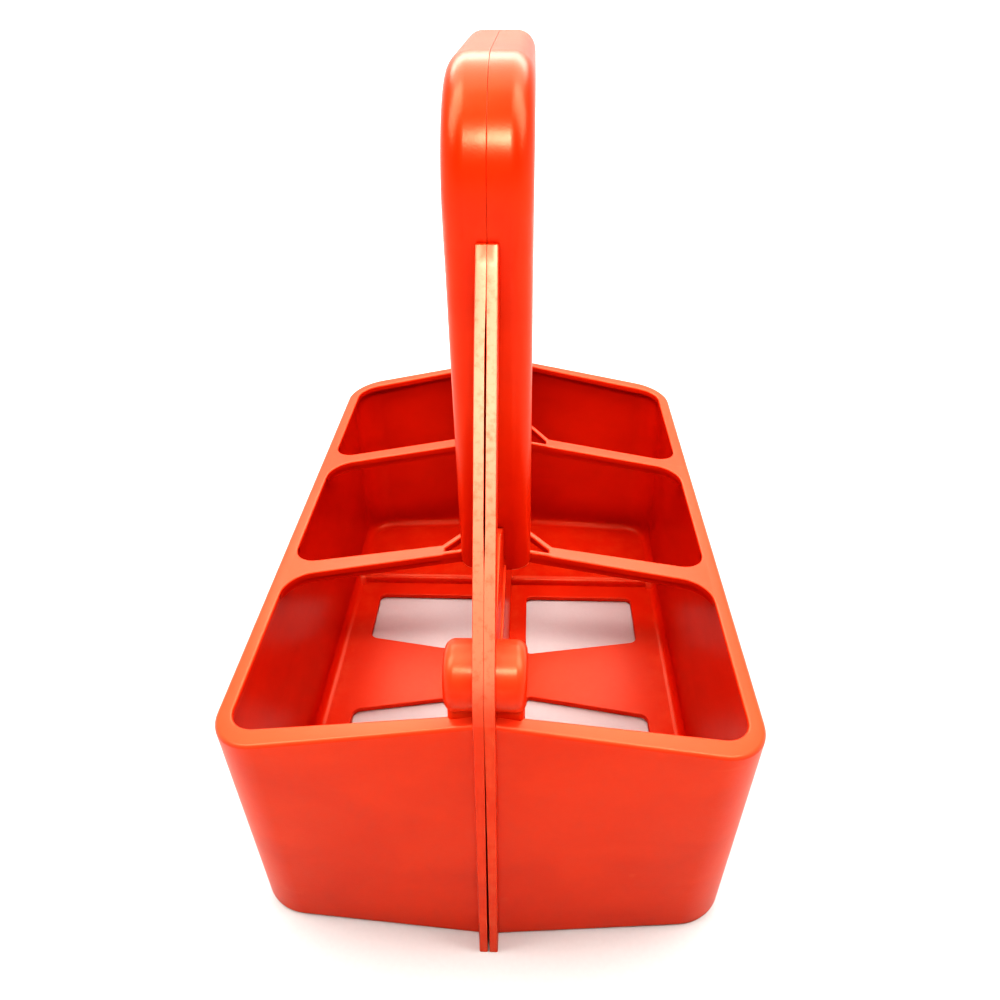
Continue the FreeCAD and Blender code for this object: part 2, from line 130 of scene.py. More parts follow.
# pale edges, broken up by noise: partly rubbing, partly a painted highlight along the edges

rubAndSheenLook = {
    "start": 0.53, "end": 0.62,               # pointiness where the pale edge starts and is full
    "patchScale": 130.0, "patch": {"Detail": 5.0, "Roughness": 0.7}, "patchSpan": (0.42, 0.66),
}


def makeEdgeRubAndSheen(look):
    group, given, out = newGroup("edgeRubAndSheen", {"Start": look["start"], "End": look["end"]}, ("Mask",))
    shape = addNode(group, "ShaderNodeNewGeometry")
    edge = addRange(group, shape.outputs["Pointiness"], given["Start"], given["End"])
    patch = addNoise(group, given["Vector"], look["patchScale"], **look["patch"])
    broken = addRange(group, patch, *look["patchSpan"])
    feed(group, out["Mask"], addMath(group, "MULTIPLY", edge, broken))
    return group


# painted top light: faces that look up are painted paler, above the floor of the trays

litTopLook = {
    "low": 0.070, "high": 0.082,              # metres up, where the painted top light comes in
    "top": 0.125, "end": 0.160,               # and where it goes again, below the handle
    "facing": (0.15, 0.85),                   # how far a face looks up
}


def makeLitTops(look):
    levels = {"Low": look["low"], "High": look["high"], "Top": look["top"], "End": look["end"]}
    group, given, out = newGroup("litTops", levels, ("Mask",))
    shape = addNode(group, "ShaderNodeNewGeometry")
    normal = addNode(group, "ShaderNodeSeparateXYZ")
    place = addNode(group, "ShaderNodeSeparateXYZ")
    feed(group, normal.inputs[0], shape.outputs["Normal"])
    feed(group, place.inputs[0], given["Vector"])
    upward = addRange(group, normal.outputs["Z"], *look["facing"], kind="SMOOTHSTEP")
    high = addRange(group, place.outputs["Z"], given["Low"], given["High"])
    belowHandle = addRange(group, place.outputs["Z"], given["Top"], given["End"], 1.0, 0.0)
    both = addMath(group, "MULTIPLY", upward, high)
    feed(group, out["Mask"], addMath(group, "MULTIPLY", both, belowHandle))
    return group


# thin handling scratches and a few nicks

handlingLook = {
    "streakTurn": (0.5, 0.2, 0.9), "streakStretch": (14.0, 170.0, 120.0),
    "streakScale": 1.0, "streak": {"Detail": 6.0, "Roughness": 0.55}, "streakSpan": (0.70, 0.76),
    "nickScale": 55.0, "nickSpan": (0.085, 0.045),
    "rareScale": 17.0, "rare": {"Detail": 1.0}, "rareSpan": (0.56, 0.62),   # only some places are nicked
}


def makeHandling(look):
    group, given, out = newGroup("handlingMarks", {"Nick Scale": look["nickScale"]}, ("Scratches", "Nicks"))
    lay = addNode(group, "ShaderNodeMapping", Rotation=look["streakTurn"], Scale=look["streakStretch"])
    feed(group, lay.inputs["Vector"], given["Vector"])
    streak = addNoise(group, lay.outputs["Vector"], look["streakScale"], **look["streak"])
    cells = addNode(group, "ShaderNodeTexVoronoi", feature="F1")
    feed(group, cells.inputs["Vector"], given["Vector"])
    feed(group, cells.inputs["Scale"], given["Nick Scale"])
    small = addRange(group, cells.outputs["Distance"], *look["nickSpan"])
    rare = addNoise(group, given["Vector"], look["rareScale"], **look["rare"])
    pick = addRange(group, rare, *look["rareSpan"])
    feed(group, out["Scratches"], addRange(group, streak, *look["streakSpan"]))
    feed(group, out["Nicks"], addMath(group, "MULTIPLY", small, pick))
    return group


mouldGrain = makeMouldGrain(grainLook)
edgeRubAndSheen = makeEdgeRubAndSheen(rubAndSheenLook)
litTops = makeLitTops(litTopLook)
handlingMarks = makeHandling(handlingLook)
print("wear and grain ready")


# plastics

plasticLook = {
    "colour": (0.61, 0.041, 0.002, 1.0),      # red-orange polypropylene
    "deep": (0.56, 0.033, 0.0015, 1.0),       # slightly deeper flow marks
    "paleRubAndSheen": (0.72, 0.22, 0.09, 1.0),        # chalky rubbed edges and painted edge highlight, also used for the scratches
    "topLightColour": (0.70, 0.15, 0.080, 1.0),        # painted light on faces that look up
    "paleWearAndSheen": (0.80, 0.33, 0.225, 1.0),         # pale along the braces: scuffing, and a painted highlight
    "glint": (1.0, 0.86, 0.66, 1.0),          # warm sheen
    "rubAndSheen": 0.20, "marks": 0.10, "topLightShare": 0.34,
    "flowSpan": (0.35, 0.70), "cloudSpan": (0.3, 0.7),
    "mottleScale": 420.0, "mottle": {"Detail": 4.0, "Roughness": 0.65}, "mottleSpan": (0.25, 0.50, 0.55),
    "smooth": 0.29, "dull": 0.355, "markDull": 0.22,
    "index": 1.49, "gloss": 0.5,
    "bump": 0.05, "bumpDepth": 0.0004,
}
plugLook = dict(plasticLook, colour=(0.52, 0.028, 0.002, 1.0), deep=(0.46, 0.022, 0.0015, 1.0),
                smooth=0.42, dull=0.52, rubAndSheen=0.5, marks=0.4)


def makePlastic(name, look):
    material = bpy.data.materials.new(name)
    material.use_nodes = True
    tree = material.node_tree
    shader = tree.nodes["Principled BSDF"]
    shader.inputs["IOR"].default_value = look["index"]
    shader.inputs["Specular IOR Level"].default_value = look["gloss"]
    shader.inputs["Specular Tint"].default_value = look["glint"]
    place = addNode(tree, "ShaderNodeTexCoord").outputs["Object"]
    grain = addNode(tree, "ShaderNodeGroup", node_tree=mouldGrain)
    edges = addNode(tree, "ShaderNodeGroup", node_tree=edgeRubAndSheen)
    handling = addNode(tree, "ShaderNodeGroup", node_tree=handlingMarks)
    topLighting = addNode(tree, "ShaderNodeGroup", node_tree=litTops)
    for node in (grain, edges, handling, topLighting):
        feed(tree, node.inputs["Vector"], place)

    flow = addRange(tree, grain.outputs["Flow"], *look["flowSpan"])
    colour = layColour(tree, flow, look["colour"], look["deep"])
    # faces that look up are painted paler: painted top light
    topLightMask = addMath(tree, "MULTIPLY", topLighting.outputs["Mask"], look["topLightShare"])
    colour = layColour(tree, topLightMask, colour, look["topLightColour"])
    # sharp edges painted paler: partly rubbing, partly a painted highlight
    paleRubAndSheen = addMath(tree, "MULTIPLY", edges.outputs["Mask"], look["rubAndSheen"])
    colour = layColour(tree, paleRubAndSheen, colour, look["paleRubAndSheen"])
    most = addMath(tree, "MAXIMUM", handling.outputs["Scratches"], handling.outputs["Nicks"])
    marks = addMath(tree, "MULTIPLY", most, look["marks"])
    colour = layColour(tree, marks, colour, look["paleRubAndSheen"])

    scuffAndSheen = addNode(tree, "ShaderNodeAttribute", attribute_name="scuffAndSheen")   # which faces are painted pale: scuffs, and on the braces also a painted highlight
    wearAndSheen = addNode(tree, "ShaderNodeAttribute", attribute_name="wearAndSheen")   # and how much, along the piece
    mottle = addNoise(tree, place, look["mottleScale"], **look["mottle"])
    patchy = addRange(tree, mottle, *look["mottleSpan"])
    # pale scuffs on the handle feet; on the braces partly scuffing, partly a painted highlight
    paleWearAndSheen = addMath(tree, "MULTIPLY", scuffAndSheen.outputs["Fac"], wearAndSheen.outputs["Fac"])
    paleWearAndSheen = addMath(tree, "MULTIPLY", paleWearAndSheen, patchy, clamp=True)
    feed(tree, shader.inputs["Base Color"], layColour(tree, paleWearAndSheen, colour, look["paleWearAndSheen"]))

    finish = addRange(tree, grain.outputs["Cloud"], *look["cloudSpan"], look["smooth"], look["dull"])
    rough = addMath(tree, "MULTIPLY_ADD", marks, look["markDull"], finish, clamp=True)
    feed(tree, shader.inputs["Roughness"], rough)
    bump = addNode(tree, "ShaderNodeBump", Strength=look["bump"], Distance=look["bumpDepth"])
    feed(tree, bump.inputs["Height"], grain.outputs["Height"])
    feed(tree, shader.inputs["Normal"], bump.outputs["Normal"])
    return material


moulded = makePlastic("mouldedOrange", plasticLook)
plugPlastic = makePlastic("plugOrange", plugLook)
print("plastics ready")


# mesh helpers

sharpAngle = radians(35)                      # edges that turn further can be rounded off
creaseAngle = radians(50)                     # and those left that turn further than this shade sharp
flatAngle = 0.005                             # faces that turn less become one
facing = 0.9                                  # share of a normal along the axis that its face looks along
same = 0.01                                   # mm, spots closer than this are level with each other
apart = 0.1                                   # mm, spots further than this are not
weld = 0.001                                  # mm, vertices closer than this become one
snap = 0.0001                                 # mm, vertices closer to a cut lie on it
axisX, axisZ = 0, 2


def sharpEdges(bm, pick=None):
    found = [e for e in bm.edges if e.is_manifold and e.calc_face_angle(0) > sharpAngle]
    return [e for e in found if pick is None or pick(e)]


def roundOff(bm, edges, reach, cuts):
    if edges:
        bmesh.ops.bevel(bm, geom=edges, offset=reach, offset_type="OFFSET", affect="EDGES",
                        segments=cuts, profile=0.5, material=-1, clamp_overlap=True)


def flatLoop(bm, corners, rounds, place):
    # a closed outline with some corners rounded; rounds holds corner: (reach, cuts)
    verts = [bm.verts.new(place(*corner)) for corner in corners]
    bm.faces.new(verts)
    for index, (reach, cuts) in rounds.items():
        bmesh.ops.bevel(bm, geom=[verts[index]], offset=reach, offset_type="OFFSET", affect="VERTICES",
                        segments=cuts, profile=0.5, material=-1)


def openFaces(bm):
    # keep only the outlines, so that they can be filled with their holes
    bmesh.ops.delete(bm, geom=list(bm.faces), context="FACES_ONLY")


def fillFlat(bm, normal):
    bmesh.ops.triangle_fill(bm, use_beauty=True, use_dissolve=False, edges=list(bm.edges), normal=normal)
    bmesh.ops.dissolve_limit(bm, angle_limit=flatAngle, use_dissolve_boundaries=False,
                             verts=list(bm.verts), edges=list(bm.edges))


def thicken(bm, depth, axis, low):
    bm.normal_update()
    bmesh.ops.solidify(bm, geom=list(bm.faces), thickness=depth)
    shift = Vector((0, 0, 0))
    shift[axis] = low - min(v.co[axis] for v in bm.verts)
    bmesh.ops.translate(bm, vec=shift, verts=bm.verts)
    bmesh.ops.recalc_face_normals(bm, faces=bm.faces)


def sinkFaces(bm, faces, margin, shift):
    # a hollow that leaves a margin round it
    bmesh.ops.inset_region(bm, faces=faces, thickness=margin, use_even_offset=True)
    made = bmesh.ops.extrude_face_region(bm, geom=faces)["geom"]
    bmesh.ops.delete(bm, geom=[f for f in faces if f.is_valid], context="FACES_ONLY")
    moved = [item for item in made if isinstance(item, bmesh.types.BMVert)]
    bmesh.ops.translate(bm, vec=shift, verts=moved)


def newRod(radius, length, cuts):
    rod = bmesh.new()
    bmesh.ops.create_cone(rod, cap_ends=True, segments=cuts, radius1=radius, radius2=radius, depth=length)
    return rod


def boreRod(rod, radius, hole, depth):
    end = [f for f in rod.faces if f.normal.z < -facing]
    sinkFaces(rod, end, radius - hole, (0, 0, depth))


def layRod(rod, middle):
    # lies along X, with its bored end towards the other half
    bmesh.ops.rotate(rod, cent=(0, 0, 0), matrix=Matrix.Rotation(radians(90), 3, "Y"), verts=rod.verts)
    bmesh.ops.translate(rod, vec=middle, verts=rod.verts)


def newBox(size, middle):
    box = bmesh.new()
    bmesh.ops.create_cube(box, size=1.0)
    bmesh.ops.scale(box, vec=size, verts=box.verts)
    bmesh.ops.translate(box, vec=middle, verts=box.verts)
    return box


def joinInto(bm, part):
    holder = bpy.data.meshes.new("part")
    part.to_mesh(holder)
    part.free()
    bm.from_mesh(holder)
    bpy.data.meshes.remove(holder)


def finishPiece(bm, name, side, nodes):
    # drawn on the right, the left one is turned over
    if side < 0:
        bmesh.ops.scale(bm, vec=(-1, 1, 1), verts=bm.verts)
    bmesh.ops.scale(bm, vec=(mm, mm, mm), verts=bm.verts)
    bmesh.ops.recalc_face_normals(bm, faces=bm.faces)
    half = "right" if side > 0 else "left"
    mesh = bpy.data.meshes.new(half + name)
    bm.to_mesh(mesh)
    bm.free()
    mesh.materials.append(moulded)
    mesh.shade_smooth()
    mesh.set_sharp_from_angle(angle=creaseAngle)
    piece = bpy.data.objects.new(half + name, mesh)
    scene.collection.objects.link(piece)
    shading = piece.modifiers.new("evenShading", "WEIGHTED_NORMAL")
    shading.keep_sharp = True
    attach(piece, half + "_half")
    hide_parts(*[half + "_" + node for node in nodes])


def onLevel(height):
    return lambda x, y: (x, y, height)


def onSide(place):
    return lambda y, z: (place, y, z)


def quarter(cuts):
    return [pi / 2 * step / cuts for step in range(cuts + 1)]


# tray with its rim lip

tray = {
    "halfWidth": 80.2, "sideDraft": 1.6, "halfLength": 122.7, "endDraft": 9.1,
    "crownBulge": 1.1, "baseBulge": 6.2, "crownCorner": 15.0, "baseCorner": 17.0,
    "crown": 102.0, "rimDrop": 15.0, "wall": 2.2,
    "innerX": 2.2,                            # ends buried in the web plate
    "endCuts": 8, "cornerCuts": 12,
    "sideStops": (1.0, 0.9, 0.8, 0.69, 0.675, 0.664, 0.645, 0.61, 0.5, 0.4, 0.25, 0.1),
    "outerStops": (0.08, 0.25, 0.45, 0.65, 0.85, 0.95), "innerStops": (0.12, 0.35, 0.6, 0.85),
    "footRound": 0.9, "footCuts": 3, "rimRound": 1.3, "rimCuts": 4, "rimTries": 4,
    "lipRound": 0.9, "lipCuts": 3, "lipDepth": 3.0,
    "lipSide": 74.77, "lipEnd": 114.36, "lipBulge": 4.5, "lipCorner": 9.0,
    "lipUnder": ((0, 0.5), (0.15, 0.15), (0.5, 0)),   # outset and rise of the lower edge of the lip
    "cove": ((0.8, 0), (0.23, 0.23), (0, 0.8)),   # inset and drop where the lip meets the wall
    "filletRadius": 4.0, "filletCuts": 5,
    "toe": 1.2, "toeSink": 0.03, "toeBottom": 0.5,   # runs on from the fillet, just under the floor's face
    "footInset": 1.8,
}
floor = {
    "top": 2.4, "edgeInset": 1.2,
    "platformTop": 6.4, "platformStart": 64.8, "platformRound": (3.0, 5), "platformBottom": 1.0,
    "platformInset": 1.6, "platformLevel": 3.0,   # its outline is buried in the wall
    "platformClear": 4.0,                     # from its nose to the next corner of the outline
    "riseLead": 1.6, "riseRun": 2.2,          # the fillet steps up where the platform starts
    "windowInner": 10.8, "windowOuter": 62.5, "windowFar": 55.4,
    "windowNearInner": 13.3, "windowNearOuter": 23.0, "windowCorner": (3.0, 5), "windowEdge": (0.45, 2),
    "windowZone": (5.0, 70.0, 62.0),          # X from and to, and reach in Y, of all window edges
}
slope = tray["rimDrop"] / tray["halfWidth"]


def trayColumns():
    ends = [("end", step / tray["endCuts"]) for step in range(tray["endCuts"])]
    corner = [("corner", step / tray["cornerCuts"]) for step in range(tray["cornerCuts"])]
    stops = [-stop for stop in tray["sideStops"]] + list(reversed(tray["sideStops"]))
    there = [(kind, share, -1) for kind, share in ends + corner]
    back = [(kind, share, 1) for kind, share, end in reversed(there)]
    return there + [("side", stop, 0) for stop in stops] + back


def outlineSpot(column, form):
    kind, share, end = column
    width, length, bulge, radius = form
    lean = bulge / (width - tray["innerX"])
    secant = sqrt(1 + lean * lean)
    reach = radius * (secant - lean)
    if kind == "side":
        return width, (length - reach) * share
    if kind == "corner":
        turn = atan2(1, lean) * (1 - share)
        return width - radius + radius * cos(turn), end * (length - reach + radius * sin(turn))
    x = tray["innerX"] + (width - reach / secant - tray["innerX"]) * share
    return x, end * (length + bulge - lean * (x - tray["innerX"]))


def wallForm(height, inset):
    share = height / tray["crown"]
    return (tray["halfWidth"] - tray["sideDraft"] * (1 - share) - inset,
            tray["halfLength"] - tray["endDraft"] * (1 - share) - inset,
            tray["baseBulge"] + (tray["crownBulge"] - tray["baseBulge"]) * share,
            tray["baseCorner"] + (tray["crownCorner"] - tray["baseCorner"]) * share - inset)


def lowSpot(column, inset, height):
    x, y = outlineSpot(column, wallForm(height, inset))
    return x, y, height


def rimSpot(column, inset, drop):
    height = tray["crown"] - tray["rimDrop"]
    for step in range(tray["rimTries"]):      # the wall leans, so close in on the sloping rim plane
        x, y = outlineSpot(column, wallForm(height, inset))
        height = tray["crown"] - slope * x - drop
    return x, y, height


def lipSpot(column, outset, drop):
    form = (tray["lipSide"] + outset, tray["lipEnd"] + outset, tray["lipBulge"], tray["lipCorner"] + outset)
    x, y = outlineSpot(column, form)
    return x, y, tray["crown"] - slope * x - drop


def floorSpot(column, inset, up):
    x, y = outlineSpot(column, wallForm(floor["top"], inset))
    rise = min(1, max(0, (abs(y) - floor["platformStart"] + floor["riseLead"]) / floor["riseRun"]))
    height = floor["top"] + (floor["platformTop"] - floor["top"]) * rise + up
    x, y = outlineSpot(column, wallForm(height, inset))
    return x, y, height


def innerSpot(column, share):
    # on the inner face of the wall, from the cove down to the fillet
    wall, below = tray["wall"], tray["lipDepth"] + tray["cove"][-1][1]
    high = rimSpot(column, wall, below)[2]
    low = floorSpot(column, wall, tray["filletRadius"])[2]
    return lowSpot(column, wall, high * (1 - share) + low * share)


def outerSpot(column, share):
    foot = tray["footRound"]
    return lowSpot(column, 0, foot + (rimSpot(column, 0, tray["rimRound"])[2] - foot) * share)


def trayRows():
    # the section of the wall, from its foot up the outer face and down the inner one
    wall, foot, rim, lip = tray["wall"], tray["footRound"], tray["rimRound"], tray["lipRound"]
    depth, fillet = tray["lipDepth"], tray["filletRadius"]
    toe = wall + fillet + tray["toe"]
    rows = [lambda c: lowSpot(c, tray["footInset"], 0.0)]
    for a in quarter(tray["footCuts"]):
        rows.append(lambda c, a=a: lowSpot(c, foot * (1 - sin(a)), foot * (1 - cos(a))))
    for share in tray["outerStops"]:
        rows.append(lambda c, s=share: outerSpot(c, s))
    for a in quarter(tray["rimCuts"]):
        rows.append(lambda c, a=a: rimSpot(c, rim * (1 - cos(a)), rim * (1 - sin(a))))
    for a in quarter(tray["lipCuts"]):
        rows.append(lambda c, a=a: lipSpot(c, lip * (1 - sin(a)), lip * (1 - cos(a))))
    for outset, rise in tray["lipUnder"]:
        rows.append(lambda c, o=outset, r=rise: lipSpot(c, o, depth - r))
    for inset, drop in tray["cove"]:
        rows.append(lambda c, i=inset, d=drop: rimSpot(c, wall + i, depth + d))
    for share in tray["innerStops"]:
        rows.append(lambda c, s=share: innerSpot(c, s))
    for a in quarter(tray["filletCuts"]):
        rows.append(lambda c, a=a: floorSpot(c, wall + fillet * (1 - cos(a)), fillet * (1 - sin(a))))
    rows.append(lambda c: floorSpot(c, toe, -tray["toeSink"]))
    rows.append(lambda c: lowSpot(c, toe, tray["toeBottom"]))
    rows.append(lambda c: lowSpot(c, tray["footInset"], tray["toeBottom"]))
    rows.append(rows[0])
    return rows


def makeWalls(bm):
    columns = trayColumns()
    rows = trayRows()
    label = bm.verts.layers.int.new("column")
    row = [bm.verts.new(rows[0](column)) for column in columns]
    for number, vert in enumerate(row):
        vert[label] = number
    edges = [bm.edges.new(pair) for pair in zip(row, row[1:])]
    for place in rows[1:]:
        made = bmesh.ops.extrude_edge_only(bm, edges=edges)["geom"]
        fresh = set(item for item in made if isinstance(item, bmesh.types.BMVert))
        edges = [item for item in made if isinstance(item, bmesh.types.BMEdge) and set(item.verts) <= fresh]
        for vert in fresh:
            vert.co = place(columns[vert[label]])
    bmesh.ops.remove_doubles(bm, verts=bm.verts, dist=weld)
    bmesh.ops.holes_fill(bm, edges=[e for e in bm.edges if e.is_boundary], sides=0)
    bm.verts.layers.int.remove(label)
    bmesh.ops.recalc_face_normals(bm, faces=bm.faces)


def makeFloor():
    plate = bmesh.new()
    rim = [plate.verts.new(lowSpot(column, floor["edgeInset"], 0.0)) for column in trayColumns()]
    for pair in zip(rim, rim[1:] + rim[:1]):
        plate.edges.new(pair)
    inner, outer, far = floor["windowInner"], floor["windowOuter"], floor["windowFar"]
    for end in (-1, 1):
        window = [(inner, end * floor["windowNearInner"]), (outer, end * floor["windowNearOuter"]),
                  (outer, end * far), (inner, end * far)]
        rounds = {index: floor["windowCorner"] for index in range(len(window))}
        flatLoop(plate, window, rounds, onLevel(0.0))
    openFaces(plate)
    fillFlat(plate, (0, 0, 1))
    thicken(plate, floor["top"], axisZ, 0.0)

    def atWindow(edge):
        low, high, reach = floor["windowZone"]
        return all(low < v.co.x < high and abs(v.co.y) < reach for v in edge.verts)

    flat = [e for e in sharpEdges(plate, atWindow) if abs(e.verts[0].co.z - e.verts[1].co.z) < same]
    roundOff(plate, flat, *floor["windowEdge"])
    return plate


def makePlatform(end):
    block = bmesh.new()
    start, bottom = floor["platformStart"], floor["platformBottom"]
    columns = [column for column in trayColumns() if column[2] == end or column[0] == "side"]
    path = [lowSpot(column, floor["platformInset"], floor["platformLevel"]) for column in columns]
    path = [spot for spot in path if spot[1] * end > start + floor["platformClear"]]
    path.sort(key=lambda spot: atan2(abs(spot[1]) - start, spot[0]))
    corners = [(path[0][0], end * start)] + [spot[:2] for spot in path] + [(tray["innerX"], end * start)]
    flatLoop(block, corners, {}, onLevel(0.0))
    thicken(block, floor["platformTop"] - bottom, axisZ, bottom)

    def isNose(edge):
        atTop = all(v.co.z > floor["platformTop"] - same for v in edge.verts)
        return atTop and all(abs(abs(v.co.y) - start) < same for v in edge.verts)

    roundOff(block, [e for e in block.edges if isNose(e)], *floor["platformRound"])
    return block


for side in (-1, 1):
    bm = bmesh.new()
    makeWalls(bm)
    joinInto(bm, makeFloor())
    joinInto(bm, makePlatform(-1))
    joinInto(bm, makePlatform(1))
    finishPiece(bm, "Tray", side, ["tray", "rim"])
print("trays ready")


# divider bars: a flat top with flared ends over two ribs, forked at the handle

bar = {
    "near": {"front": -42.3, "rear": 36.8},   # the edge towards the camera
    "farFork": {"front": -36.1, "rear": 43.8},   # the other edge, at the fork
    "farRim": {"front": -34.2, "rear": 43.8},   # and at the rim
    "topDepth": 2.3, "topRound": (0.7, 3), "armInset": 0.4, "armWidth": 2.0,
    "ribInset": 0.9, "ribThick": 2.0, "ribDepth": 2.6, "ribOverlap": 0.5, "ribRound": (0.3, 2),
    "flare": 9.5, "flareCuts": 8, "flareSpare": 1.0,
    "landing": 76.6, "sunk": 0.02,            # the ends lie in the rim, a hair under its face
    "legSide": 10.4, "fork": 18.0, "shoulder": 1.5,
    "braceFoot": {"front": -20.3, "rear": 66.3},
    "braceEnd": 2.2, "braceFace": 3.7, "braceWidth": 3.2,
}


def slopeWithRim(part):
    lean = Matrix.Identity(4)
    lean[2][0] = -slope
    lean[2][3] = tray["crown"]
    bmesh.ops.transform(part, matrix=lean, verts=part.verts)


def makeBarTop(end):
    near, farFork, farRim = bar["near"][end], bar["farFork"][end], bar["farRim"][end]
    arm, braceBack = near + bar["armInset"], farFork - bar["armInset"]
    armBack, braceFront = arm + bar["armWidth"], braceBack - bar["armWidth"]
    foot = bar["braceFoot"][end]
    head = foot - bar["braceWidth"]
    run = (bar["fork"] - bar["braceEnd"]) / (bar["fork"] - bar["braceFace"])
    footEnd, headEnd = braceBack + (foot - braceBack) * run, braceFront + (head - braceFront) * run
    fork, leg, lipSide, flare = bar["fork"], bar["legSide"], tray["lipSide"], bar["flare"]
    shoulder = fork + bar["shoulder"]
    nearEnd, farEnd = near - flare - bar["flareSpare"], farRim + flare + bar["flareSpare"]
    nearFlare, farFlare = 3, 8                # the corners at the lip

    top = bmesh.new()
    flatLoop(top, [(leg, arm), (fork, arm), (shoulder, near), (lipSide, near), (lipSide, nearEnd),
                   (bar["landing"], nearEnd), (bar["landing"], farEnd), (lipSide, farEnd), (lipSide, farRim),
                   (shoulder, farFork), (bar["braceEnd"], footEnd), (bar["braceEnd"], headEnd),
                   (fork, braceFront), (fork, armBack), (leg, armBack)],
             {nearFlare: (flare, bar["flareCuts"]), farFlare: (flare, bar["flareCuts"])}, onLevel(0.0))
    thicken(top, bar["topDepth"], axisZ, -bar["topDepth"] - bar["sunk"])

    def isUpper(edge):
        return all(v.co.z > -apart and v.co.x < lipSide + apart for v in edge.verts)

    roundOff(top, sharpEdges(top, isUpper), *bar["topRound"])
    slopeWithRim(top)
    return top


def flareRib(edge, way):
    # a rib that turns with the flare: its face, then its back
    bend, middle = tray["lipSide"] - bar["flare"], edge - way * bar["flare"]
    front = bar["flare"] + bar["ribInset"]
    back = front + bar["ribThick"]
    turns = quarter(bar["flareCuts"])
    face = [(bend + front * sin(a), middle + way * front * cos(a)) for a in turns]
    rear = [(bend + back * sin(a), middle + way * back * cos(a)) for a in reversed(turns)]
    return face + rear


def makeBarRibs(end):
    near, farFork, farRim = bar["near"][end], bar["farFork"][end], bar["farRim"][end]
    fork, leg, inset, thick = bar["fork"], bar["legSide"], bar["ribInset"], bar["ribThick"]
    nearRib = [(leg, near + inset)] + flareRib(near, 1) + [(leg, near + inset + thick)]
    farRib = [(fork, farFork - inset)] + flareRib(farRim, -1) + [(fork, farFork - inset - thick)]
    ribs = bmesh.new()
    flatLoop(ribs, nearRib, {}, onLevel(0.0))
    flatLoop(ribs, farRib[::-1], {}, onLevel(0.0))
    thicken(ribs, bar["ribDepth"] + bar["ribOverlap"], axisZ, -bar["topDepth"] - bar["ribDepth"])
    roundOff(ribs, sharpEdges(ribs), *bar["ribRound"])
    slopeWithRim(ribs)
    return ribs


for side in (-1, 1):
    for end in ("front", "rear"):
        bm = makeBarTop(end)
        joinInto(bm, makeBarRibs(end))
        finishPiece(bm, end.capitalize() + "Bar", side, [end + "_bar"])
print("divider bars ready")


# handle: half of a hollow arch

grip = {
    "foot": 97.0, "heel": 98.8,               # the lean starts at the foot, the legs end at the heel
    "footOffset": 51.0, "legDepth": 20.5, "top": 254.0, "lean": 20.6, "barDepth": 21.0,
    "halfWidth": 11.75, "gap": 0.015, "wall": 2.8,
    "bend": 32.0, "bendCuts": 20, "innerBend": 11.0, "innerBendCuts": 12,
    "longEdge": (6.2, 8), "seamEdge": (0.13, 2), "footEdge": (0.8, 3), "footWear": 0.8,
    "postRadius": 4.8, "postCuts": 32, "postSink": 0.05,
    "pinHole": 2.48, "pinDepth": 7.2, "legPin": 150.0, "topPin": 24.0,
    "sag": 0.65, "sagHeight": 90.0,           # the handle stands a touch to the left
}


def legFace(height):
    return grip["footOffset"] + grip["lean"] * (height - grip["foot"]) / (grip["top"] - grip["foot"])


def sag(height):
    return grip["sag"] * min(1, max(0, height - grip["foot"]) / grip["sagHeight"])


def makePost(y, z):
    deep = grip["halfWidth"] - grip["wall"] / 2 - grip["gap"]
    post = newRod(grip["postRadius"], deep, grip["postCuts"])
    boreRod(post, grip["postRadius"], grip["pinHole"], grip["pinDepth"])
    layRod(post, (grip["gap"] + grip["postSink"] + deep / 2, y, z))
    return post


